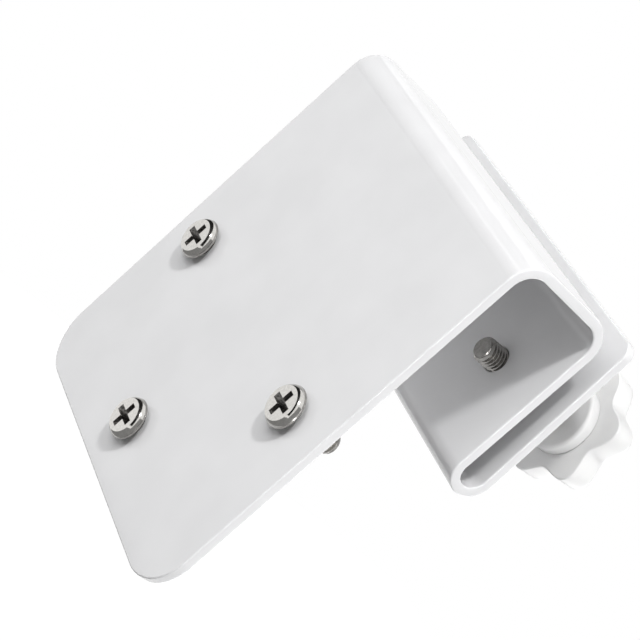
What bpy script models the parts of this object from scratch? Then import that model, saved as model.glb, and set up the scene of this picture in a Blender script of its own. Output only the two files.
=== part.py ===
"""Camera gutter mount: a folded sheet bracket that hooks over a gutter's front edge.

The plate hangs down in front of the gutter and carries three camera screws that stand proud,
for the keyhole slots of a camera's base. The roof rests on the gutter's edge. Behind it the
sheet runs down as the inner leg and turns back up as the lip, and two thumbscrews go through
both and press the gutter's edge against the plate.

Frame: metres, +Z up. X runs along the folds, Y from the plate to the lip. The origin is the
middle of the roof's underside, which is the seat on the gutter's edge.
"""

import math

import bmesh
import bpy
from mathutils import Matrix, Vector

MM = 0.001

# Folded sheet.
SHEET_THICKNESS = 2.0 * MM
BRACKET_WIDTH = 80.0 * MM
PLATE_LENGTH = 89.6 * MM
PLATE_CORNER_RADIUS = 10.0 * MM
CHANNEL_WIDTH = 22.2 * MM
ROOF_BEND_RADIUS = 4.2 * MM
HOOK_DEPTH = 39.4 * MM
HAIRPIN_RADIUS = 2.75 * MM
LIP_LEAN = math.radians(1.9)
LIP_RISE = 0.8 * MM
LIP_CORNER_RADIUS = 2.6 * MM
EDGE_ROUNDING = 0.3 * MM
BEND_STEP = math.radians(10.0)

# Camera screws, on three quarters of one pitch circle.
LOW_SCREW_MARGIN = 11.4 * MM
SCREW_CIRCLE_RADIUS = 28.3 * MM
SCREW_ANGLES = {"camera_screw_right": 0.0, "camera_screw_low": -90.0, "camera_screw_left": 180.0}
SCREW_HEAD_RADIUS = 4.4 * MM
SCREW_HEAD_FLAT_RADIUS = 3.6 * MM
SCREW_HEAD_HEIGHT = 1.65 * MM
SCREW_RIM_HEIGHT = 0.3 * MM
SHOULDER_START = math.radians(30)
SCREW_STAND_OFF = 1.35 * MM
SCREW_LENGTH = 12.7 * MM
SCREW_SHANK_RADIUS = 2.4 * MM
SCREW_TIP_CHAMFER = 0.3 * MM
RECESS_SPAN = 5.3 * MM
RECESS_ARM_WIDTH = 1.35 * MM
RECESS_DEPTH = 2.2 * MM
RECESS_FLOOR_SHARE = 0.4

# Thumbscrews, square to the lip.
THUMBSCREW_MARGIN = 14.4 * MM
THUMBSCREW_DROP = 19.2 * MM
STUD_RADIUS = 2.5 * MM
STUD_REACH = 4.3 * MM
STUD_TIP_CHAMFER = 0.6 * MM
STUD_GRIP = 4.2 * MM
WASHER_STAND_OFF = 11.0 * MM
WASHER_RADIUS = 7.4 * MM
WASHER_THICKNESS = 2.3 * MM
WASHER_EDGE_ROUNDING = 0.4 * MM
KNOB_LOBES = 6
KNOB_REST_TURN = math.radians(30)
KNOB_LOBE_RADIUS = 13.0 * MM
KNOB_WAIST_RADIUS = 10.1 * MM
KNOB_THICKNESS = 6.0 * MM
KNOB_DRAFT = math.radians(5.0)
KNOB_FRONT_ROUNDING = 0.35 * MM
KNOB_BACK_ROUNDING = 1.5 * MM
KNOB_CROWN_HEIGHT = 0.5 * MM
KNOB_CROWN_RADIUS = 7.5 * MM

# Clearances.
RUNNING_GAP = 0.3 * MM
HEAD_MARGIN = 1.0 * MM
CUT_MARGIN = 3.0 * MM

# Facets of the round pieces.
SCREW_FACETS = 32
STUD_FACETS = 24
WASHER_FACETS = 48
LOBE_FACETS = 12
HOLE_FACETS = 32
ROUNDING_STEPS = 3
SHOULDER_STEPS = 4
CORNER_STEPS = 8

# Heights worked out from the sizes above.
TOP_FACE = SHEET_THICKNESS
PLATE_OUTER_Y = -CHANNEL_WIDTH / 2 - SHEET_THICKNESS
LEG_CHANNEL_Y = CHANNEL_WIDTH / 2
PLATE_END_Z = TOP_FACE - PLATE_LENGTH
SCREW_CIRCLE_Z = PLATE_END_Z + LOW_SCREW_MARGIN + SCREW_CIRCLE_RADIUS
THUMBSCREW_Z = TOP_FACE - THUMBSCREW_DROP


def clear_scene():
    for old in list(bpy.data.objects):
        bpy.data.objects.remove(old, do_unlink=True)


def add_collection(name):
    collection = bpy.data.collections.new(name)
    bpy.context.scene.collection.children.link(collection)
    return collection


def make_material(name, colour, metallic, roughness):
    material = bpy.data.materials.new(name)
    material.use_nodes = True
    shader = material.node_tree.nodes["Principled BSDF"]
    shader.inputs["Base Color"].default_value = (*colour, 1.0)
    shader.inputs["Metallic"].default_value = metallic
    shader.inputs["Roughness"].default_value = roughness
    material.diffuse_color = (*colour, 1.0)
    return material


def add_object(name, bm, collection, material=None, smooth=True):
    mesh = bpy.data.meshes.new(name)
    bm.to_mesh(mesh)
    bm.free()
    if smooth:
        mesh.shade_smooth()
        mesh.set_sharp_from_angle(angle=math.radians(30))
    if material:
        mesh.materials.append(material)
    obj = bpy.data.objects.new(name, mesh)
    collection.objects.link(obj)
    return obj


def make_cutter(obj):
    obj.hide_render = True
    obj.display_type = "WIRE"
    return obj


def cut(target, cutter):
    boolean = target.modifiers.new("cut " + cutter.name, "BOOLEAN")
    boolean.operation = "DIFFERENCE"
    boolean.solver = "EXACT"
    boolean.object = cutter


def cylinder(radius, bottom, top, facets):
    bm = bmesh.new()
    bmesh.ops.create_cone(bm, cap_ends=True, segments=facets, radius1=radius, radius2=radius,
                          depth=top - bottom)
    bmesh.ops.translate(bm, verts=bm.verts, vec=(0.0, 0.0, (top + bottom) / 2))
    return bm


def quarter_round(centre_radius, centre_height, radius, start, steps=ROUNDING_STEPS):
    """Points of a quarter circle in a turned profile, turning clockwise from the angle start."""
    points = []
    for step in range(steps + 1):
        angle = start - math.pi / 2 * step / steps
        points.append((centre_radius + radius * math.cos(angle),
                       centre_height + radius * math.sin(angle)))
    return points


def turned(name, profile, facets, collection, material, parent):
    """A solid or ring of revolution about its own Z. The profile runs down its outer side."""
    bm = bmesh.new()
    verts = [bm.verts.new((radius, 0.0, height)) for radius, height in profile]
    for first, second in zip(verts, verts[1:]):
        bm.edges.new((first, second))
    if profile[0][0] > 0.0:
        bm.edges.new((verts[-1], verts[0]))
    obj = add_object(name, bm, collection, material, smooth=False)
    screw = obj.modifiers.new("turn", "SCREW")
    screw.axis = "Z"
    screw.steps = facets
    screw.render_steps = facets
    screw.use_merge_vertices = True
    screw.merge_threshold = 0.00001
    screw.use_smooth_shade = True
    obj.parent = parent
    return obj


def fold_path():
    """Middle line of the sheet in the Y-Z plane, from the plate's free end to the lip's."""
    half = SHEET_THICKNESS / 2
    roof_bend = ROOF_BEND_RADIUS + SHEET_THICKNESS
    hairpin = HAIRPIN_RADIUS + SHEET_THICKNESS
    place = Vector((PLATE_OUTER_Y + half, PLATE_END_Z))
    heading = math.pi / 2
    points = [place.copy()]

    def straight(length):
        nonlocal place
        place = place + length * Vector((math.cos(heading), math.sin(heading)))
        points.append(place.copy())

    def bend(angle, inner_radius):
        nonlocal place, heading
        radius = inner_radius + half
        side = math.copysign(1.0, angle)
        centre = place + side * radius * Vector((-math.sin(heading), math.cos(heading)))
        steps = math.ceil(abs(angle) / BEND_STEP)
        arm = place - centre
        for step in range(1, steps + 1):
            turn = Matrix.Rotation(angle * step / steps, 2)
            points.append(centre + turn @ arm)
        place = points[-1].copy()
        heading += angle

    low_screw_part = LOW_SCREW_MARGIN + SCREW_HEAD_RADIUS + HEAD_MARGIN
    straight(low_screw_part)
    straight(PLATE_LENGTH - roof_bend - low_screw_part)
    bend(-math.pi / 2, ROOF_BEND_RADIUS)
    straight(CHANNEL_WIDTH - 2 * ROOF_BEND_RADIUS)
    bend(-math.pi / 2, ROOF_BEND_RADIUS)
    straight(HOOK_DEPTH - roof_bend - hairpin)
    bend(math.pi + LIP_LEAN, HAIRPIN_RADIUS)
    straight((TOP_FACE + LIP_RISE - place.y) / math.cos(LIP_LEAN))
    return points


def lip_distance():
    """Distance along a thumbscrew's axis from the leg's channel face to the lip's outer face."""
    end = fold_path()[-1]
    outward = Vector((math.cos(LIP_LEAN), math.sin(LIP_LEAN)))
    face = end + outward * SHEET_THICKNESS / 2
    return (face - Vector((LEG_CHANNEL_Y, THUMBSCREW_Z))).dot(outward)


def build_bracket(collection, material):
    """The folded strip, with a plain face between the screw heads for a camera's base."""
    edge = BRACKET_WIDTH / 2
    clear = SCREW_CIRCLE_RADIUS - SCREW_HEAD_RADIUS - HEAD_MARGIN
    bm = bmesh.new()
    rows = []
    for y, z in fold_path():
        rows.append([bm.verts.new((x, y, z)) for x in (-edge, -clear, clear, edge)])
    for lower, upper in zip(rows, rows[1:]):
        for index in range(len(lower) - 1):
            bm.faces.new((lower[index], lower[index + 1], upper[index + 1], upper[index]))
    for row, radius in ((rows[0], PLATE_CORNER_RADIUS), (rows[-1], LIP_CORNER_RADIUS)):
        bmesh.ops.bevel(bm, geom=[row[0], row[-1]], offset=radius, segments=CORNER_STEPS,
                        profile=0.5, affect="VERTICES")
    bracket = add_object("bracket", bm, collection, material)
    shell = bracket.modifiers.new("sheet", "SOLIDIFY")
    shell.thickness = SHEET_THICKNESS
    shell.offset = 0.0
    shell.use_even_offset = True
    return bracket


def round_edges(bracket):
    bevel = bracket.modifiers.new("rounded edges", "BEVEL")
    bevel.width = EDGE_ROUNDING
    bevel.segments = 2
    bevel.limit_method = "ANGLE"
    bevel.angle_limit = math.radians(40)


def recess_arm(name, turn, collection, parent):
    """One arm of the cross recess: a wedge that narrows from the head's top to the floor."""
    above = 1 + (1 - RECESS_FLOOR_SHARE) * CUT_MARGIN / RECESS_DEPTH
    bm = bmesh.new()
    bmesh.ops.create_cube(bm, size=1.0)
    for vert in bm.verts:
        at_top = vert.co.z > 0
        share = above if at_top else RECESS_FLOOR_SHARE
        vert.co.x *= RECESS_SPAN * share
        vert.co.y *= RECESS_ARM_WIDTH * share
        vert.co.z = CUT_MARGIN if at_top else -RECESS_DEPTH
    arm = make_cutter(add_object(name, bm, collection, smooth=False))
    arm.parent = parent
    arm.rotation_euler.z = turn
    return arm


def head_shoulder(rim, top):
    """The shoulder's outline: it leaves the flat top at an edge and meets the rim upright."""
    width = SCREW_HEAD_RADIUS - SCREW_HEAD_FLAT_RADIUS
    points = []
    for step in range(SHOULDER_STEPS + 1):
        angle = SHOULDER_START + (math.pi / 2 - SHOULDER_START) * step / SHOULDER_STEPS
        across = (math.sin(angle) - math.sin(SHOULDER_START)) / (1 - math.sin(SHOULDER_START))
        up = math.cos(angle) / math.cos(SHOULDER_START)
        points.append((SCREW_HEAD_FLAT_RADIUS + width * across, rim + (top - rim) * up))
    return points


def build_camera_screws(bracket, collection, cutters, material):
    for name, angle in SCREW_ANGLES.items():
        turn = math.radians(angle)
        axis = bpy.data.objects.new(name + "_axis", None)
        collection.objects.link(axis)
        axis.location = (SCREW_CIRCLE_RADIUS * math.cos(turn), PLATE_OUTER_Y,
                         SCREW_CIRCLE_Z + SCREW_CIRCLE_RADIUS * math.sin(turn))
        axis.rotation_euler.x = math.pi / 2

        seat = SCREW_STAND_OFF
        rim = seat + SCREW_RIM_HEIGHT
        top = seat + SCREW_HEAD_HEIGHT
        tip = seat - SCREW_LENGTH
        profile = [(0.0, top)] + head_shoulder(rim, top)
        profile += [
            (SCREW_HEAD_RADIUS, seat),
            (SCREW_SHANK_RADIUS, seat),
            (SCREW_SHANK_RADIUS, tip + SCREW_TIP_CHAMFER),
            (SCREW_SHANK_RADIUS - SCREW_TIP_CHAMFER, tip),
            (0.0, tip),
        ]
        screw = turned(name, profile, SCREW_FACETS, collection, material, axis)
        head_top = bpy.data.objects.new(name + "_recess", None)
        collection.objects.link(head_top)
        head_top.parent = axis
        head_top.location.z = top
        for arm, arm_turn in (("a", 0.0), ("b", math.pi / 2)):
            cut(screw, recess_arm(name + "_recess_" + arm, arm_turn, cutters, head_top))

        hole = cylinder(SCREW_SHANK_RADIUS + RUNNING_GAP, -SHEET_THICKNESS - CUT_MARGIN,
                        CUT_MARGIN, HOLE_FACETS)
        hole = make_cutter(add_object(name + "_hole", hole, cutters, smooth=False))
        hole.parent = axis
        cut(bracket, hole)


def lobed_radius(angle, inset):
    middle = (KNOB_LOBE_RADIUS + KNOB_WAIST_RADIUS) / 2
    swell = (KNOB_LOBE_RADIUS - KNOB_WAIST_RADIUS) / 2
    return middle + swell * math.cos(KNOB_LOBES * (angle - KNOB_REST_TURN)) - inset


def knob_sections():
    """Height and inset of each section, from the face beside the washer to the crown."""
    slope = math.tan(KNOB_DRAFT)
    sections = []
    for step in range(ROUNDING_STEPS + 1):
        turn = math.pi / 2 * step / ROUNDING_STEPS
        sections.append((KNOB_FRONT_ROUNDING * (1 - math.cos(turn)),
                         KNOB_FRONT_ROUNDING * (1 - math.sin(turn))))
    for step in range(ROUNDING_STEPS + 2):
        turn = math.pi / 2 * step / (ROUNDING_STEPS + 1)
        height = KNOB_THICKNESS - KNOB_BACK_ROUNDING * (1 - math.sin(turn))
        inset = slope * height + KNOB_BACK_ROUNDING * (1 - math.cos(turn))
        sections.append((height, inset))
    return sections


def build_knob(name, start, collection, material, parent):
    """Six-lobed knob: rings of one lobed outline, closed by a crown at the back."""
    count = KNOB_LOBES * LOBE_FACETS
    angles = [2 * math.pi * index / count for index in range(count)]
    bm = bmesh.new()
    rings = []
    for height, inset in knob_sections():
        ring = []
        for angle in angles:
            radius = lobed_radius(angle, inset)
            ring.append(bm.verts.new((radius * math.cos(angle), radius * math.sin(angle),
                                      start + height)))
        rings.append(ring)
    crown = []
    for angle in angles:
        crown.append(bm.verts.new((KNOB_CROWN_RADIUS * math.cos(angle),
                                   KNOB_CROWN_RADIUS * math.sin(angle),
                                   start + KNOB_THICKNESS + KNOB_CROWN_HEIGHT)))
    rings.append(crown)
    for lower, upper in zip(rings, rings[1:]):
        for index in range(count):
            after = (index + 1) % count
            bm.faces.new((lower[index], lower[after], upper[after], upper[index]))
    bm.faces.new(list(reversed(rings[0])))
    bm.faces.new(rings[-1])
    knob = add_object(name, bm, collection, material)
    knob.parent = parent
    return knob


def build_thumbscrew(side, x, bracket, collection, cutters, materials):
    """Stud, washer and knob on one axis. Local Z runs out of the channel, towards the knob."""
    axis = bpy.data.objects.new(side + "_thumbscrew_axis", None)
    collection.objects.link(axis)
    axis.location = (x, LEG_CHANNEL_Y, THUMBSCREW_Z)
    axis.rotation_euler.x = LIP_LEAN - math.pi / 2

    lip_face = lip_distance()
    washer_start = lip_face + WASHER_STAND_OFF
    washer_end = washer_start + WASHER_THICKNESS
    knob_start = washer_end + RUNNING_GAP
    stud_end = knob_start + STUD_GRIP
    bore = STUD_RADIUS + RUNNING_GAP

    stud_profile = [
        (0.0, stud_end),
        (STUD_RADIUS, stud_end),
        (STUD_RADIUS, STUD_TIP_CHAMFER - STUD_REACH),
        (STUD_RADIUS - STUD_TIP_CHAMFER, -STUD_REACH),
        (0.0, -STUD_REACH),
    ]
    turned(side + "_stud", stud_profile, STUD_FACETS, collection, materials["steel"], axis)

    rounding = WASHER_EDGE_ROUNDING
    washer_profile = quarter_round(WASHER_RADIUS - rounding, washer_end - rounding, rounding,
                                   math.pi / 2)
    washer_profile += quarter_round(WASHER_RADIUS - rounding, washer_start + rounding, rounding,
                                    0.0)
    washer_profile += [(bore, washer_start), (bore, washer_end)]
    turned(side + "_washer", washer_profile, WASHER_FACETS, collection, materials["plastic"],
           axis)

    knob = build_knob(side + "_knob", knob_start, collection, materials["plastic"], axis)
    socket = cylinder(bore, knob_start - CUT_MARGIN, stud_end + RUNNING_GAP, STUD_FACETS)
    socket = make_cutter(add_object(side + "_knob_socket", socket, cutters, smooth=False))
    socket.parent = axis
    cut(knob, socket)

    hole = cylinder(bore, -CUT_MARGIN, lip_face + CUT_MARGIN, HOLE_FACETS)
    hole = make_cutter(add_object(side + "_stud_hole", hole, cutters, smooth=False))
    hole.parent = axis
    cut(bracket, hole)


def main():
    clear_scene()
    collection = add_collection("camera_gutter_mount")
    cutters = add_collection("cutters")
    coat = make_material("white powder coat", (0.80, 0.80, 0.80), 0.0, 0.35)
    materials = {
        "steel": make_material("zinc plated steel", (0.55, 0.55, 0.53), 1.0, 0.25),
        "plastic": make_material("white moulded plastic", (0.82, 0.82, 0.81), 0.0, 0.4),
    }
    bracket = build_bracket(collection, coat)
    build_camera_screws(bracket, collection, cutters, materials["steel"])
    reach = BRACKET_WIDTH / 2 - THUMBSCREW_MARGIN
    for side, x in (("left", -reach), ("right", reach)):
        build_thumbscrew(side, x, bracket, collection, cutters, materials)
    round_edges(bracket)


main()
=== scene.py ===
"""Camera gutter mount, as it looks: one coated sheet, plated screws and studs, moulded knobs.

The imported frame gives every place. The bracket is folded again here with finer bends, the
screws and studs get their rolled threads, and the knobs and washers their moulded edges.
Lengths are in metres, and +Z is up as the bracket hangs.
"""

import math

import bmesh
import bpy
from mathutils import Matrix, Vector


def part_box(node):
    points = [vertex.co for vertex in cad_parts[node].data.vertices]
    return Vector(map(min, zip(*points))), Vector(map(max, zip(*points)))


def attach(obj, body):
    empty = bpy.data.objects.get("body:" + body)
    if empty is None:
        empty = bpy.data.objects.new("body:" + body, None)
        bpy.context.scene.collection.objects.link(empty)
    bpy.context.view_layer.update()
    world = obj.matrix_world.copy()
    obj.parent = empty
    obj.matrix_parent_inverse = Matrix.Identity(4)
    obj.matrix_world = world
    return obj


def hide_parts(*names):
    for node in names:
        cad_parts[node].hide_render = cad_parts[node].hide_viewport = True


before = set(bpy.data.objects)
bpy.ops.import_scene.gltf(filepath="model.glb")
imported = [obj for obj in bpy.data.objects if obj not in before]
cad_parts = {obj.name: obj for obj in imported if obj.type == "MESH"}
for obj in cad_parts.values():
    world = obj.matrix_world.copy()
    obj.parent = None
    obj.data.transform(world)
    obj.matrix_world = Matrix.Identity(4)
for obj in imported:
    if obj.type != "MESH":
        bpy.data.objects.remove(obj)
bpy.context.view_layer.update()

MM = 0.001
FULL_TURN = 2 * math.pi
# Points this near to each other, or to a plane, count as touching.
TOUCHING = 0.001 * MM
# What lies this near to a height counts as being at it.
LEVEL_MARGIN = 0.01 * MM
TURNING_STEPS = 96
BORE_STEPS = 64

# Folded sheet.
SHEET_THICKNESS = 2.0 * MM
ROOF_BEND_RADIUS = 4.2 * MM
HAIRPIN_RADIUS = 2.75 * MM
CHANNEL_WIDTH = 22.2 * MM
HOOK_DEPTH = 39.4 * MM
LIP_LEAN = math.radians(1.9)
LIP_RISE = 0.8 * MM
PLATE_CORNER_RADIUS = 10.0 * MM
LIP_CORNER_RADIUS = 2.6 * MM
EDGE_ROUNDING = 0.32 * MM
EDGE_STEPS = 4
SQUARE_EDGE_ANGLE = math.radians(40)
ROOF_BEND_STEPS = 28
HAIRPIN_STEPS = 44
CORNER_STEPS = 20

# Camera screws.
SCREW_CIRCLE_RADIUS = 28.3 * MM
SCREW_HEAD_RADIUS = 4.4 * MM
SCREW_HEAD_FLAT_RADIUS = 3.6 * MM
SCREW_HEAD_HEIGHT = 1.65 * MM
SCREW_RIM_HEIGHT = 0.3 * MM
SHOULDER_BOW = math.radians(18)
SHOULDER_STEPS = 12
RIM_EDGE_ROUNDING = 0.12 * MM
RIM_EDGE_STEPS = 3
# The rim and this much of the shoulder above it take the darker thread steel, as painted shade.
RIM_SHADE_BAND = 0.2 * MM
SCREW_STAND_OFF = 1.35 * MM
SCREW_LENGTH = 12.7 * MM
SCREW_THREAD_RADIUS = 2.4 * MM
SCREW_TIP_CHAMFER = 0.3 * MM
RECESS_SPAN = 5.3 * MM
RECESS_ARM_WIDTH = 1.35 * MM
RECESS_DEPTH = 2.2 * MM
RECESS_FLOOR_SHARE = 0.4
RECESS_PIT_RADIUS = 1.15 * MM
RECESS_PIT_STEPS = 24
# The punch stands this far out of the head.
PUNCH_OVERSHOOT = 1.0 * MM
# Room round the recess when its faces are picked.
RECESS_MARGIN = 0.02 * MM

# Thumbscrews.
THUMBSCREW_DROP = 19.2 * MM
STUD_RADIUS = 2.5 * MM
STUD_REACH = 4.3 * MM
STUD_TIP_CHAMFER = 0.6 * MM
STUD_GRIP = 4.2 * MM
WASHER_STAND_OFF = 11.0 * MM
WASHER_RADIUS = 7.4 * MM
WASHER_THICKNESS = 2.3 * MM
WASHER_FRONT_ROUNDING = 0.8 * MM
WASHER_FRONT_STEPS = 8
WASHER_BACK_ROUNDING = 0.25 * MM
WASHER_BACK_STEPS = 4
KNOB_LOBES = 6
KNOB_LOBE_STEPS = 24
KNOB_REST_TURN = math.radians(30)
KNOB_LOBE_RADIUS = 13.0 * MM
KNOB_WAIST_RADIUS = 10.1 * MM
KNOB_THICKNESS = 6.0 * MM
KNOB_DRAFT = math.radians(5.0)
KNOB_FRONT_ROUNDING = 0.35 * MM
KNOB_FRONT_STEPS = 4
KNOB_BACK_ROUNDING = 1.5 * MM
KNOB_BACK_STEPS = 8
KNOB_CROWN_HEIGHT = 0.5 * MM
KNOB_CROWN_RINGS = 8
KNOB_RING_INSET = 0.02 * MM
RUNNING_GAP = 0.3 * MM
SEATED_GAP = 0.05 * MM

# Metric thread, in shares of its pitch.
THREAD_PITCH = 0.8 * MM
THREAD_DEPTH_SHARE = 0.613
THREAD_OUTLINE = ((0.0, 0.0), (0.3125, 1.0), (0.4375, 1.0), (0.75, 0.0), (1.0, 0.0))
THREAD_STEPS = 48
# Turns of thread below the tip, cut away again. No vertex then lies on the plane of the cut.
THREAD_LEAD_IN = 1.47
THREAD_CLEARANCE = 0.1 * MM

# Places, from the frame.
BRACKET_LOW, BRACKET_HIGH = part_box("bracket")
BRACKET_WIDTH = BRACKET_HIGH.x - BRACKET_LOW.x
PLATE_END_Z = BRACKET_LOW.z
TOP_FACE = SHEET_THICKNESS
PLATE_OUTER_Y = BRACKET_LOW.y
LEG_CHANNEL_Y = CHANNEL_WIDTH / 2
THUMBSCREW_Z = TOP_FACE - THUMBSCREW_DROP


# Modelling

def only(obj):
    """Makes obj the one selected object."""
    bpy.ops.object.select_all(action="DESELECT")
    obj.select_set(True)
    bpy.context.view_layer.objects.active = obj


def edit(obj):
    """Opens obj in edit mode with nothing selected."""
    only(obj)
    bpy.ops.object.mode_set(mode="EDIT")
    bpy.ops.mesh.select_all(action="DESELECT")


def stop_editing():
    bpy.ops.object.mode_set(mode="OBJECT")


def newest(name):
    """The object that was just added, under its own name."""
    obj = bpy.context.object
    obj.name = name
    obj.data.name = name
    return obj


def pick(obj, kind, wanted):
    """Selects the vertices, edges or faces of obj, in edit mode, for which wanted is true."""
    bpy.ops.mesh.select_mode(type={"verts": "VERT", "edges": "EDGE", "faces": "FACE"}[kind])
    bpy.ops.mesh.select_all(action="DESELECT")
    mesh = bmesh.from_edit_mesh(obj.data)
    for element in getattr(mesh, kind):
        if wanted(element):
            element.select_set(True)
    bmesh.update_edit_mesh(obj.data)


def apply_modifier(obj, kind, **settings):
    modifier = obj.modifiers.new(kind.lower(), kind)
    for name, value in settings.items():
        setattr(modifier, name, value)
    only(obj)
    bpy.ops.object.modifier_apply(modifier=modifier.name)


def combine(obj, other, operation):
    """Cuts other out of obj, or joins it to obj, and removes other."""
    apply_modifier(obj, "BOOLEAN", operation=operation, solver="EXACT", object=other)
    bpy.data.objects.remove(other, do_unlink=True)


def bore(obj, matrix, radius, low, high):
    """A round hole through obj, along the Z of matrix."""
    bpy.ops.mesh.primitive_cylinder_add(vertices=BORE_STEPS, radius=radius, depth=high - low)
    drill = newest("drill")
    place(drill, matrix @ Matrix.Translation((0, 0, (low + high) / 2)))
    combine(obj, drill, "DIFFERENCE")


def draw_outline(name, points):
    """One vertex, extruded from point to point."""
    bpy.ops.object.select_all(action="DESELECT")
    bpy.ops.mesh.primitive_plane_add(size=MM)
    outline = newest(name)
    bpy.ops.object.mode_set(mode="EDIT")
    bpy.ops.mesh.select_mode(type="VERT")
    bpy.ops.mesh.select_all(action="SELECT")
    bpy.ops.mesh.merge(type="CENTER")
    bpy.ops.transform.translate(value=points[0])
    for start, end in zip(points, points[1:]):
        step = Vector(end) - Vector(start)
        bpy.ops.mesh.extrude_region_move(TRANSFORM_OT_translate={"value": step})
    return outline


def turn_outline(name, points):
    """A solid of revolution about Z, from points of (radius, height).

    The points start and end on the axis, or end where they started.
    """
    turned = draw_outline(name, [(radius, 0.0, height) for radius, height in points])
    bpy.ops.mesh.select_all(action="SELECT")
    bpy.ops.mesh.spin(steps=TURNING_STEPS, angle=FULL_TURN, center=(0, 0, 0), axis=(0, 0, 1))
    bpy.ops.mesh.select_all(action="SELECT")
    bpy.ops.mesh.remove_doubles(threshold=TOUCHING)
    bpy.ops.mesh.normals_make_consistent(inside=False)
    stop_editing()
    return turned


def arc(centre_radius, centre_height, radius, start, end, steps):
    """Points of an arc of an outline, from angle start to angle end in degrees."""
    points = []
    for step in range(steps + 1):
        angle = math.radians(start + (end - start) * step / steps)
        points.append((centre_radius + radius * math.cos(angle),
                       centre_height + radius * math.sin(angle)))
    return points


def shade(obj, sharp_angle):
    """Smooth shading, but for edges sharper than sharp_angle in degrees."""
    only(obj)
    bpy.ops.object.shade_smooth_by_angle(angle=math.radians(sharp_angle))


def place(obj, matrix):
    """Puts a piece that was made along Z on its own axis, with the place in its mesh."""
    obj.data.transform(matrix)


def finish_piece(obj, material, body, node):
    """Gives a piece its finish, hangs it on the empty of the body that carries it, and hides the
    CAD node that it replaces.
    """
    if material:
        obj.data.materials.clear()
        obj.data.materials.append(material)
    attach(obj, body)
    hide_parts(node)


# Materials

# The part of a noise over which one colour goes over into the other.
RAMP_START = 0.35
RAMP_END = 0.65


def linear(hex_colour):
    """An sRGB hex colour as linear red, green, blue and alpha."""
    channels = [int(hex_colour[start:start + 2], 16) / 255 for start in (1, 3, 5)]
    return (*[c / 12.92 if c <= 0.04045 else ((c + 0.055) / 1.055) ** 2.4 for c in channels], 1.0)


def add_node(owner, kind, settings=None, inputs=None):
    """One node of a material or world, with its settings, and with inputs set or linked."""
    node = owner.node_tree.nodes.new(kind)
    for name, value in (settings or {}).items():
        setattr(node, name, value)
    for name, value in (inputs or {}).items():
        if isinstance(value, bpy.types.NodeSocket):
            owner.node_tree.links.new(value, node.inputs[name])
        else:
            node.inputs[name].default_value = value
    return node


def new_material(name, roughness, metallic=0.0, ior=1.5):
    material = bpy.data.materials.new(name)
    material.use_nodes = True
    shader = material.node_tree.nodes["Principled BSDF"]
    shader.inputs["Roughness"].default_value = roughness
    shader.inputs["Metallic"].default_value = metallic
    shader.inputs["IOR"].default_value = ior
    coordinates = add_node(material, "ShaderNodeTexCoord").outputs["Object"]
    return material, shader, coordinates


def noise(material, coordinates, size, detail=2.0):
    """Noise whose patches are about size across."""
    node = add_node(material, "ShaderNodeTexNoise",
                    inputs={"Vector": coordinates, "Scale": 1.0 / size, "Detail": detail})
    return node.outputs["Fac"]


def between(material, factor, low, high):
    """A colour that runs from low to high, both sRGB hex, over the middle of a noise."""
    ramp = add_node(material, "ShaderNodeValToRGB", inputs={"Fac": factor})
    ramp.color_ramp.elements[0].position = RAMP_START
    ramp.color_ramp.elements[0].color = linear(low)
    ramp.color_ramp.elements[1].position = RAMP_END
    ramp.color_ramp.elements[1].color = linear(high)
    return ramp.outputs["Color"]


def bump(material, height, depth):
    """A normal for relief that is depth deep where height goes from 0 to 1."""
    inputs = {"Height": height, "Distance": depth, "Strength": 1.0}
    return add_node(material, "ShaderNodeBump", inputs=inputs).outputs["Normal"]


def set_input(material, shader, name, value):
    material.node_tree.links.new(value, shader.inputs[name])


def polyester_powder_coat():
    """White polyester powder, baked on: an even semi-gloss with a faint orange peel."""
    material, shader, coordinates = new_material("polyester powder coat", roughness=0.08)
    cloud = noise(material, coordinates, 14 * MM)
    set_input(material, shader, "Base Color", between(material, cloud, "#DDDDDE", "#E1E1E2"))
    peel = noise(material, coordinates, 1.8 * MM)
    set_input(material, shader, "Normal", bump(material, peel, 0.006 * MM))
    return material


def plated_screw_steel():
    """Cold-headed steel, bright zinc plated: the faces keep the fine grain of the die."""
    material, shader, coordinates = new_material("bright plated screw steel", roughness=0.1,
                                                 metallic=1.0)
    patch = noise(material, coordinates, 0.5 * MM, detail=4.0)
    set_input(material, shader, "Base Color", between(material, patch, "#D0CECA", "#DAD8D4"))
    # The die's grain is about 0.05 mm, drawn at 0.2 mm to show.
    grain = noise(material, coordinates, 0.2 * MM)
    set_input(material, shader, "Normal", bump(material, grain, 0.003 * MM))
    return material


def painted_shade_recess_steel():
    """The walls of a punched cross recess, in dark steel: painted shade in the recess, with a
    random mottle.
    """
    material, shader, coordinates = new_material("recess steel with painted shade", roughness=0.35,
                                                 metallic=1.0)
    patch = noise(material, coordinates, 0.4 * MM)
    set_input(material, shader, "Base Color", between(material, patch, "#565553", "#9C9A97"))
    return material


def thread_steel_with_painted_shade():
    """Plated steel for rolled threads, a darker tone than the heads, with a random mottle. On the
    screws' shanks and rims the darker tone is painted shade.
    """
    material, shader, coordinates = new_material("thread steel, painted shade on screws", roughness=0.22,
                                                 metallic=1.0)
    patch = noise(material, coordinates, 0.8 * MM, detail=4.0)
    set_input(material, shader, "Base Color", between(material, patch, "#9C9A97", "#B2B0AC"))
    grain = noise(material, coordinates, 0.25 * MM)
    set_input(material, shader, "Normal", bump(material, grain, 0.003 * MM))
    return material


def moulded_nylon(name, roughness):
    """White glass-filled nylon, moulded: soft sheen, with the fine texture of the mould."""
    material, shader, coordinates = new_material(name, roughness=roughness, ior=1.53)
    cloud = noise(material, coordinates, 6 * MM)
    set_input(material, shader, "Base Color", between(material, cloud, "#E0E0E0", "#E5E5E4"))
    # The mould's texture is about 0.1 mm, drawn at 0.35 mm to show.
    texture = noise(material, coordinates, 0.35 * MM)
    set_input(material, shader, "Normal", bump(material, texture, 0.006 * MM))
    return material


# Folded bracket

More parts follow.
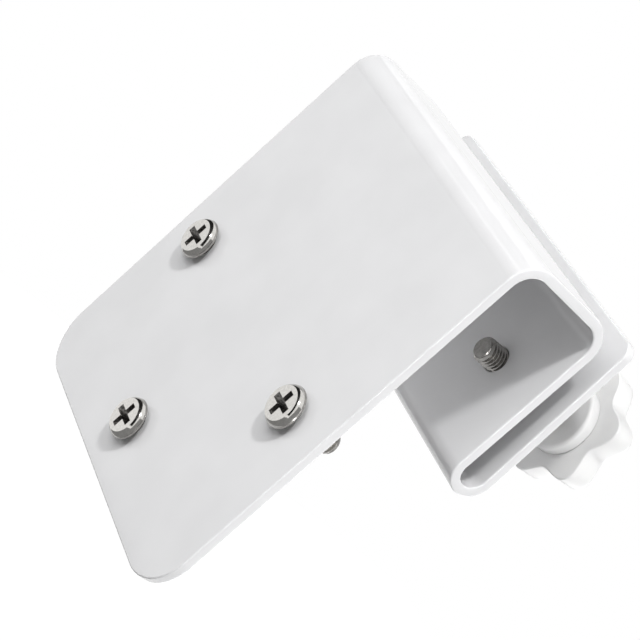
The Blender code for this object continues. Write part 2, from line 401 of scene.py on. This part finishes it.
def fold_sheet():
    """The sheet's middle surface: the plate, then each bend spun and each straight extruded."""
    half = SHEET_THICKNESS / 2
    roof_bend = ROOF_BEND_RADIUS + SHEET_THICKNESS
    hairpin = HAIRPIN_RADIUS + SHEET_THICKNESS
    length = TOP_FACE - PLATE_END_Z - roof_bend
    bpy.ops.object.select_all(action="DESELECT")
    bpy.ops.mesh.primitive_plane_add(size=1.0, rotation=(math.pi / 2, 0, 0))
    sheet = newest("coated_bracket")
    bpy.ops.object.transform_apply(location=False, rotation=True, scale=False)
    edit(sheet)
    bpy.ops.mesh.select_all(action="SELECT")
    bpy.ops.transform.resize(value=(BRACKET_WIDTH, 1.0, length))
    bpy.ops.transform.translate(value=(0.0, PLATE_OUTER_Y + half, PLATE_END_Z + length / 2))
    pick(sheet, "edges", lambda edge: all(v.co.z > PLATE_END_Z + length / 2 for v in edge.verts))

    heading = math.pi / 2
    spot = Vector((0.0, PLATE_OUTER_Y + half, PLATE_END_Z + length))

    def straight(run):
        nonlocal spot
        step = run * Vector((0.0, math.cos(heading), math.sin(heading)))
        bpy.ops.mesh.extrude_region_move(TRANSFORM_OT_translate={"value": step})
        spot = spot + step

    def bend(angle, inner_radius, steps):
        nonlocal spot, heading
        radius = math.copysign(inner_radius + half, angle)
        centre = spot + radius * Vector((0.0, -math.sin(heading), math.cos(heading)))
        bpy.ops.mesh.spin(steps=steps, angle=-angle, center=centre, axis=(1, 0, 0))
        spot = centre + Matrix.Rotation(angle, 3, "X") @ (spot - centre)
        heading += angle

    bend(-math.pi / 2, ROOF_BEND_RADIUS, ROOF_BEND_STEPS)
    straight(CHANNEL_WIDTH - 2 * ROOF_BEND_RADIUS)
    bend(-math.pi / 2, ROOF_BEND_RADIUS, ROOF_BEND_STEPS)
    straight(HOOK_DEPTH - roof_bend - hairpin)
    bend(math.pi + LIP_LEAN, HAIRPIN_RADIUS, HAIRPIN_STEPS)
    straight((TOP_FACE + LIP_RISE - spot.z) / math.cos(LIP_LEAN))

    for end, radius in ((spot, LIP_CORNER_RADIUS),
                        (Vector((0.0, PLATE_OUTER_Y + half, PLATE_END_Z)), PLATE_CORNER_RADIUS)):
        pick(sheet, "verts", lambda v: (v.co.yz - end.yz).length < half)
        bpy.ops.mesh.bevel(offset_type="OFFSET", offset=radius, segments=CORNER_STEPS,
                           affect="VERTICES")
    bpy.ops.mesh.select_all(action="SELECT")
    bpy.ops.mesh.normals_make_consistent(inside=False)
    stop_editing()
    lip_end = spot + Vector((0.0, math.cos(LIP_LEAN), math.sin(LIP_LEAN))) * half
    return sheet, lip_end


def round_edges(sheet):
    """Rounds the edges that are still square."""
    apply_modifier(sheet, "BEVEL", width=EDGE_ROUNDING, segments=EDGE_STEPS,
                   limit_method="ANGLE", angle_limit=SQUARE_EDGE_ANGLE)


def make_bracket(sheet, screw_places, stud_places, material):
    """The solid bracket. Its outline is rounded before the bores, and their rims after them."""
    apply_modifier(sheet, "SOLIDIFY", thickness=SHEET_THICKNESS, offset=0.0, use_even_offset=True)
    round_edges(sheet)
    margin = 2 * SHEET_THICKNESS
    for matrix in screw_places.values():
        bore(sheet, matrix, SCREW_THREAD_RADIUS + THREAD_CLEARANCE, -margin, margin)
    for matrix in stud_places.values():
        bore(sheet, matrix, STUD_RADIUS + THREAD_CLEARANCE, -margin, WASHER_STAND_OFF + margin)
    round_edges(sheet)
    shade(sheet, sharp_angle=35)
    apply_modifier(sheet, "WEIGHTED_NORMAL", keep_sharp=True)
    finish_piece(sheet, material, "bracket", "bracket")


# Threads and screws

def threaded_rod(name, radius, low, high, tip_chamfer):
    """A right-hand thread along Z, cut flat at both ends and chamfered at the low one."""
    depth = THREAD_DEPTH_SHARE * THREAD_PITCH
    turns = math.ceil((high - low) / THREAD_PITCH) + 2
    start = low - THREAD_LEAD_IN * THREAD_PITCH
    points = []
    for along, out in THREAD_OUTLINE:
        points.append((radius - depth * (1 - out), 0.0, start + along * THREAD_PITCH))
    rod = draw_outline(name, points)
    stop_editing()
    apply_modifier(rod, "SCREW", axis="Z", angle=FULL_TURN, screw_offset=THREAD_PITCH,
                   iterations=turns, steps=THREAD_STEPS, render_steps=THREAD_STEPS)
    edit(rod)
    bpy.ops.mesh.select_all(action="SELECT")
    bpy.ops.mesh.remove_doubles(threshold=TOUCHING)
    for height, towards in ((low, -1), (high, 1)):
        bpy.ops.mesh.select_all(action="SELECT")
        bpy.ops.mesh.bisect(plane_co=(0, 0, height), plane_no=(0, 0, towards), use_fill=True,
                            clear_outer=True, threshold=TOUCHING)
    bpy.ops.mesh.select_all(action="SELECT")
    bpy.ops.mesh.normals_make_consistent(inside=False)
    stop_editing()
    for vertex in rod.data.vertices:
        reach = radius - tip_chamfer + vertex.co.z - low
        across = vertex.co.xy.length
        if across > reach:
            vertex.co.xy = vertex.co.xy * reach / across
    return rod


def recess_punch(top):
    """The cross punch: two tapered bars and the pointed pit between them."""
    height = RECESS_DEPTH + PUNCH_OVERSHOOT
    grow = 1 + (1 - RECESS_FLOOR_SHARE) * PUNCH_OVERSHOOT / RECESS_DEPTH
    punch = None
    for turn in (0.0, math.pi / 2):
        bpy.ops.mesh.primitive_cube_add(size=1.0)
        bar = newest("punch_bar")
        edit(bar)
        bpy.ops.mesh.select_all(action="SELECT")
        bpy.ops.transform.resize(value=(RECESS_SPAN * grow, RECESS_ARM_WIDTH * grow, height))
        pick(bar, "faces", lambda face: face.normal.z < -0.5)
        share = RECESS_FLOOR_SHARE / grow
        bpy.ops.transform.resize(value=(share, share, 1.0))
        stop_editing()
        place(bar, Matrix.Rotation(turn, 4, "Z"))
        if punch:
            combine(punch, bar, "UNION")
        else:
            punch = bar
    bpy.ops.mesh.primitive_cone_add(vertices=RECESS_PIT_STEPS, radius1=0.0,
                                    radius2=RECESS_PIT_RADIUS * grow, depth=height)
    combine(punch, newest("punch_point"), "UNION")
    place(punch, Matrix.Translation((0, 0, top + (PUNCH_OVERSHOOT - RECESS_DEPTH) / 2)))
    return punch


def head_shoulder(rim, top):
    """The shoulder's outline: a shallow arc from the flat top's edge down to the rim."""
    width = SCREW_HEAD_RADIUS - SCREW_HEAD_FLAT_RADIUS
    height = top - rim
    radius = math.hypot(width, height) / (2 * math.sin(SHOULDER_BOW))
    start = math.atan2(height, width) - SHOULDER_BOW
    points = []
    for step in range(SHOULDER_STEPS + 1):
        slope = start + 2 * SHOULDER_BOW * step / SHOULDER_STEPS
        points.append((SCREW_HEAD_FLAT_RADIUS + radius * (math.sin(slope) - math.sin(start)),
                       top + radius * (math.cos(slope) - math.cos(start))))
    return points


def pan_screw(steel, recess_shade_steel, thread_and_shade_steel):
    """One pan-head screw along Z, with the plate's face at zero."""
    seat = SCREW_STAND_OFF
    rim = seat + SCREW_RIM_HEIGHT
    top = seat + SCREW_HEAD_HEIGHT
    outline = [(0.0, top)] + head_shoulder(rim, top)
    rounding = RIM_EDGE_ROUNDING
    outline += arc(SCREW_HEAD_RADIUS - rounding, seat + rounding, rounding, 0, -90,
                   RIM_EDGE_STEPS)
    outline.append((0.0, seat))
    screw = turn_outline("pan_screw", outline)
    shank = threaded_rod("screw_shank", SCREW_THREAD_RADIUS, seat - SCREW_LENGTH,
                         seat + SCREW_RIM_HEIGHT, SCREW_TIP_CHAMFER)
    combine(screw, shank, "UNION")
    combine(screw, recess_punch(top), "DIFFERENCE")
    screw.data.materials.clear()
    for material in (steel, recess_shade_steel, thread_and_shade_steel):
        screw.data.materials.append(material)
    reach = math.hypot(RECESS_SPAN, RECESS_ARM_WIDTH) / 2 + RECESS_MARGIN
    for polygon in screw.data.polygons:
        polygon.material_index = 0
        inside = all(screw.data.vertices[i].co.xy.length < reach for i in polygon.vertices)
        # The recess walls take the dark steel, as painted shade.
        if inside and seat < polygon.center.z < top - RECESS_MARGIN:
            polygon.material_index = 1
        # The shank, the rim and the band above it take the darker thread steel: painted shade on
        # the shank and rim.
        elif polygon.center.z < rim + RIM_SHADE_BAND:
            polygon.material_index = 2
    shade(screw, sharp_angle=32)
    return screw


def make_screws(screw_places, thread_and_shade_steel):
    pattern = pan_screw(plated_screw_steel(), painted_shade_recess_steel(), thread_and_shade_steel)
    for node, matrix in screw_places.items():
        screw = pattern.copy()
        screw.data = pattern.data.copy()
        screw.name = screw.data.name = node.replace("camera_screw", "pan_screw")
        bpy.context.scene.collection.objects.link(screw)
        place(screw, matrix)
        finish_piece(screw, None, "bracket", node)
    bpy.data.objects.remove(pattern, do_unlink=True)


# Thumbscrews

def washer_outline(start):
    """A ring with its front rim well rounded. It fills most of the running gap behind it."""
    bore_radius = STUD_RADIUS + THREAD_CLEARANCE
    end = start + WASHER_THICKNESS + RUNNING_GAP - SEATED_GAP
    front = WASHER_FRONT_ROUNDING
    back = WASHER_BACK_ROUNDING
    outline = [(bore_radius, end)]
    outline += arc(WASHER_RADIUS - back, end - back, back, 90, 0, WASHER_BACK_STEPS)
    outline += arc(WASHER_RADIUS - front, start + front, front, 0, -90, WASHER_FRONT_STEPS)
    outline += [(bore_radius, start), (bore_radius, end)]
    return outline


def lobed_knob(start, bore_end):
    """The knob: a lobed disc with draft, both rims rounded, its back crowned, and bored."""
    bpy.ops.object.select_all(action="DESELECT")
    bpy.ops.mesh.primitive_circle_add(vertices=KNOB_LOBE_STEPS * KNOB_LOBES, radius=1.0,
                                      fill_type="NGON")
    knob = newest("lobed_knob")
    top = start + KNOB_THICKNESS
    middle = (KNOB_LOBE_RADIUS + KNOB_WAIST_RADIUS) / 2
    swell = (KNOB_LOBE_RADIUS - KNOB_WAIST_RADIUS) / 2
    for vertex in knob.data.vertices:
        angle = math.atan2(vertex.co.y, vertex.co.x)
        vertex.co.xy *= middle + swell * math.cos(KNOB_LOBES * (angle - KNOB_REST_TURN))
        vertex.co.z = start
    edit(knob)
    bpy.ops.mesh.select_all(action="SELECT")
    bpy.ops.mesh.extrude_region_move(TRANSFORM_OT_translate={"value": (0, 0, KNOB_THICKNESS)})
    narrowing = 1 - math.tan(KNOB_DRAFT) * KNOB_THICKNESS / middle
    bpy.ops.transform.resize(value=(narrowing, narrowing, 1.0))
    bpy.ops.mesh.select_all(action="SELECT")
    bpy.ops.mesh.normals_make_consistent(inside=False)
    for height, rounding, steps in ((start, KNOB_FRONT_ROUNDING, KNOB_FRONT_STEPS),
                                    (top, KNOB_BACK_ROUNDING, KNOB_BACK_STEPS)):
        pick(knob, "edges", lambda e: all(abs(v.co.z - height) < LEVEL_MARGIN for v in e.verts))
        bpy.ops.mesh.bevel(offset_type="OFFSET", offset=rounding, segments=steps, affect="EDGES")
    # The back's one big face, and not the quads of the rounding round it.
    pick(knob, "faces", lambda face: (len(face.verts) > 4
                                      and face.calc_center_median().z > top - LEVEL_MARGIN))
    quarter = math.pi / 2 / KNOB_CROWN_RINGS
    for ring in range(KNOB_CROWN_RINGS):
        left = KNOB_CROWN_RINGS - ring
        share = (left - 0.5) / left
        rise = KNOB_CROWN_HEIGHT * (math.sin(quarter * (ring + 1)) - math.sin(quarter * ring))
        bpy.ops.mesh.inset(thickness=KNOB_RING_INSET, depth=0.0)
        bpy.ops.transform.resize(value=(share, share, 1.0))
        bpy.ops.transform.translate(value=(0, 0, rise))
    stop_editing()
    bore(knob, Matrix(), STUD_RADIUS + THREAD_CLEARANCE, 2 * start - bore_end, bore_end)
    return knob


def make_thumbscrew(side, matrix, lip_face, steel, washer_plastic, knob_plastic):
    washer_start = lip_face + WASHER_STAND_OFF
    knob_start = washer_start + WASHER_THICKNESS + RUNNING_GAP
    stud_end = knob_start + STUD_GRIP
    stud = threaded_rod(side + "_threaded_stud", STUD_RADIUS, -STUD_REACH, stud_end,
                        STUD_TIP_CHAMFER)
    washer = turn_outline(side + "_plain_washer", washer_outline(washer_start))
    knob = lobed_knob(knob_start, stud_end + RUNNING_GAP)
    knob.name = knob.data.name = side + "_lobed_knob"
    body = side + "_thumbscrew"
    for piece, material, carrier, node, slot in (
            (stud, steel, body, "stud", "stud_steel"),
            (washer, washer_plastic, side + "_washer", "washer", "washer_plastic"),
            (knob, knob_plastic, body, "knob", "knob_plastic")):
        shade(piece, sharp_angle=40)
        place(piece, matrix)
        finish_piece(piece, material, carrier, side + "_" + node)


# Studio

CAMERA_PLACE = Vector((313.4, -242.5, 27.8)) * MM
CAMERA_AIM = Vector((0.0, -2.2, -38.4)) * MM
CAMERA_ROLL = math.radians(48.36)
CAMERA_LENS = 121.19
CAMERA_SENSOR_WIDTH = 36.0
CAMERA_CLIP_START = 0.01
CAMERA_CLIP_END = 20.0
FLOOR_Z = -1.0
FLOOR_WIDTH = 6.0
FLOOR_GREY = "#909090"
# The floor glows this much to the camera and in gloss, a shade less than white.
FLOOR_GLOW = 0.97
# Light from all round: its level, and how the level grows along each axis.
AMBIENT = 0.52
AMBIENT_LEAN = Vector((0.12, 0.0, -0.4))
LAMP_AIM = Vector((0.0, 0.0, -40.0)) * MM
LAMP_DISTANCE = 1.2
# Each lamp: the direction it stands in, its width in metres and its power in watts.
LAMPS = {
    "key": ((0.39, -0.62, 1.0), 0.12, 7.4),
    "front": ((0.0, -1.0, 0.7), 1.0, 8.4),
    "sideback": ((1.0, 0.35, 0.7), 0.8, 2.6),
    "edge": ((1.0, 0.1, -0.05), 0.3, 4.6),
    "bounce": ((0.1, 0.9, -0.45), 1.2, 11.0),
}

# Dark cards and a ring, only for what the steel and the coat mirror.
FLAG_AIM = Vector((0.0, -15.0, -50.0)) * MM
FLAG_DISTANCE = 0.6
RING_AXIS = (-0.471, -0.86, -0.194)
RING_RADIUS = 0.445
RING_DISTANCE = 0.2
RING_DEPTH = 0.22
RING_STEPS = 96
# The ring is cut away below this height.
RING_LOW_Z = -0.15
RING_LEVEL = 0.02
# Each card: the direction it stands in, the one it runs along, its length and width in metres,
# and its brightness. The heads mirror the first two, and the bend mirrors the last.
CARDS = {
    "side_flag": ((0.97, -0.22, 0.0), (0.0, 0.0, 1.0), 1.3, 0.42, 0.28),
    "low_flag": ((0.0, -0.4, -0.9), (1.0, 0.0, 0.0), 1.8, 0.9, 0.26),
    "bend_flag": ((-0.794, -0.538, 0.286), (0.56, -0.83, 0.0), 0.6, 0.28, 0.05),
}


def make_camera():
    camera = bpy.data.objects.new("camera", bpy.data.cameras.new("camera"))
    bpy.context.scene.collection.objects.link(camera)
    camera.data.lens = CAMERA_LENS
    camera.data.sensor_width = CAMERA_SENSOR_WIDTH
    camera.data.clip_start = CAMERA_CLIP_START
    camera.data.clip_end = CAMERA_CLIP_END
    aim = (CAMERA_AIM - CAMERA_PLACE).to_track_quat("-Z", "Y").to_matrix().to_4x4()
    camera.matrix_world = (Matrix.Translation(CAMERA_PLACE) @ aim
                           @ Matrix.Rotation(CAMERA_ROLL, 4, "Z"))
    bpy.context.scene.camera = camera


def seen_rays(owner):
    """1 for the rays that show the background itself: to the camera, in gloss and in glass."""
    path = add_node(owner, "ShaderNodeLightPath")
    total = path.outputs["Is Camera Ray"]
    for name in ("Is Glossy Ray", "Is Transmission Ray"):
        most = add_node(owner, "ShaderNodeMath", {"operation": "MAXIMUM"},
                        {0: total, 1: path.outputs[name]})
        total = most.outputs["Value"]
    return total


def make_world():
    """White to the camera and in gloss, and a soft light from all round for the rest."""
    world = bpy.data.worlds.new("pale studio")
    world.use_nodes = True
    bpy.context.scene.world = world
    world.node_tree.nodes.clear()
    towards = add_node(world, "ShaderNodeTexCoord").outputs["Generated"]
    lean = add_node(world, "ShaderNodeVectorMath", {"operation": "DOT_PRODUCT"},
                    {0: towards, 1: AMBIENT_LEAN})
    level = add_node(world, "ShaderNodeMath", {"operation": "ADD"},
                     {0: lean.outputs["Value"], 1: AMBIENT})
    shades = []
    for strength in (level.outputs["Value"], 1.0):
        shade_node = add_node(world, "ShaderNodeBackground",
                              inputs={"Color": (1, 1, 1, 1), "Strength": strength})
        shades.append(shade_node.outputs["Background"])
    mix = add_node(world, "ShaderNodeMixShader",
                   inputs={"Fac": seen_rays(world), 1: shades[0], 2: shades[1]})
    add_node(world, "ShaderNodeOutputWorld", inputs={"Surface": mix.outputs["Shader"]})


def make_floor():
    """Pale floor under the hanging bracket. It looks white and keeps the soft shadow."""
    bpy.ops.object.select_all(action="DESELECT")
    bpy.ops.mesh.primitive_plane_add(size=FLOOR_WIDTH, location=(0, 0, FLOOR_Z))
    floor = newest("floor")
    material, shader, _ = new_material("matt white floor paint", roughness=0.9)
    shader.inputs["Base Color"].default_value = linear(FLOOR_GREY)
    shader.inputs["Specular IOR Level"].default_value = 0.0
    glow = add_node(material, "ShaderNodeMath", {"operation": "MULTIPLY"},
                    {0: seen_rays(material), 1: FLOOR_GLOW})
    shader.inputs["Emission Color"].default_value = (1, 1, 1, 1)
    set_input(material, shader, "Emission Strength", glow.outputs["Value"])
    floor.data.materials.append(material)


def make_flag(flag, level):
    """Finishes a flag: it shows only in gloss, where steel and coat mirror something darker."""
    material, shader, _ = new_material(flag.name + " cloth", roughness=1.0)
    shader.inputs["Base Color"].default_value = (0, 0, 0, 1)
    shader.inputs["Specular IOR Level"].default_value = 0.0
    shader.inputs["Emission Color"].default_value = (1, 1, 1, 1)
    shader.inputs["Emission Strength"].default_value = level
    flag.data.materials.append(material)
    flag.visible_camera = False
    flag.visible_diffuse = False
    flag.visible_shadow = False
    flag.visible_transmission = False


def add_card(name, direction, along, length, width, level):
    """A flat flag in a direction from the screws, its length run along another."""
    bpy.ops.object.select_all(action="DESELECT")
    bpy.ops.mesh.primitive_plane_add(size=1.0)
    card = newest(name)
    towards = Vector(direction).normalized()
    across = towards.cross(Vector(along)).normalized()
    turn = Matrix((across.cross(towards), across, towards)).transposed().to_4x4()
    spot = Matrix.Translation(FLAG_AIM + towards * FLAG_DISTANCE)
    card.data.transform(spot @ turn @ Matrix.Diagonal((length, width, 1.0, 1.0)))
    make_flag(card, level)


def add_dark_ring():
    """A black ring that the screws mirror just outside their flat tops, on the lit side."""
    bpy.ops.object.select_all(action="DESELECT")
    bpy.ops.mesh.primitive_cylinder_add(vertices=RING_STEPS, radius=RING_RADIUS,
                                        depth=RING_DEPTH, end_fill_type="NOTHING")
    ring = newest("ring_flag")
    axis = Vector(RING_AXIS).normalized()
    ring.data.transform(Matrix.Translation(FLAG_AIM + axis * RING_DISTANCE)
                        @ axis.to_track_quat("Z", "Y").to_matrix().to_4x4())
    edit(ring)
    pick(ring, "faces", lambda face: face.calc_center_median().z < RING_LOW_Z)
    bpy.ops.mesh.delete(type="FACE")
    stop_editing()
    make_flag(ring, RING_LEVEL)


def add_area_light(name, spot, aim, size, power):
    lamp = bpy.data.lights.new(name, "AREA")
    lamp.shape = "DISK"
    lamp.size = size
    lamp.energy = power
    holder = bpy.data.objects.new(name, lamp)
    bpy.context.scene.collection.objects.link(holder)
    holder.matrix_world = (Matrix.Translation(spot)
                           @ (aim - spot).to_track_quat("-Z", "Y").to_matrix().to_4x4())


def make_lights():
    for name, (direction, size, power) in LAMPS.items():
        spot = LAMP_AIM + Vector(direction).normalized() * LAMP_DISTANCE
        add_area_light(name, spot, LAMP_AIM, size, power)


def screw_axes():
    """Where each camera screw stands: its Z runs out of the plate."""
    low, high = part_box("camera_screw_left")
    circle_z = (low.z + high.z) / 2
    spots = {
        "camera_screw_left": (-SCREW_CIRCLE_RADIUS, circle_z),
        "camera_screw_right": (SCREW_CIRCLE_RADIUS, circle_z),
        "camera_screw_low": (0.0, circle_z - SCREW_CIRCLE_RADIUS),
    }
    turn = Matrix.Rotation(math.pi / 2, 4, "X")
    return {name: Matrix.Translation((x, PLATE_OUTER_Y, z)) @ turn
            for name, (x, z) in spots.items()}


def stud_axes():
    """Where each thumbscrew's axis starts, at the leg's channel face: its Z runs to the knob."""
    axes = {}
    for side in ("left", "right"):
        low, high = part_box(side + "_stud")
        axes[side] = (Matrix.Translation(((low.x + high.x) / 2, LEG_CHANNEL_Y, THUMBSCREW_Z))
                      @ Matrix.Rotation(LIP_LEAN - math.pi / 2, 4, "X"))
    return axes


def main():
    screw_places = screw_axes()
    stud_places = stud_axes()
    sheet, lip_end = fold_sheet()
    out = Vector((0.0, math.cos(LIP_LEAN), math.sin(LIP_LEAN)))
    lip_face = (lip_end - Vector((0.0, LEG_CHANNEL_Y, THUMBSCREW_Z))).dot(out)
    make_bracket(sheet, screw_places, stud_places, polyester_powder_coat())
    steel = thread_steel_with_painted_shade()
    make_screws(screw_places, steel)
    washer_plastic = moulded_nylon("moulded nylon washer", roughness=0.38)
    knob_plastic = moulded_nylon("moulded nylon knob", roughness=0.42)
    for side, matrix in stud_places.items():
        make_thumbscrew(side, matrix, lip_face, steel, washer_plastic, knob_plastic)
    make_camera()
    make_world()
    make_lights()
    make_floor()
    add_dark_ring()
    for name, card in CARDS.items():
        add_card(name, *card)
    bpy.context.scene.view_settings.view_transform = "Standard"


main()
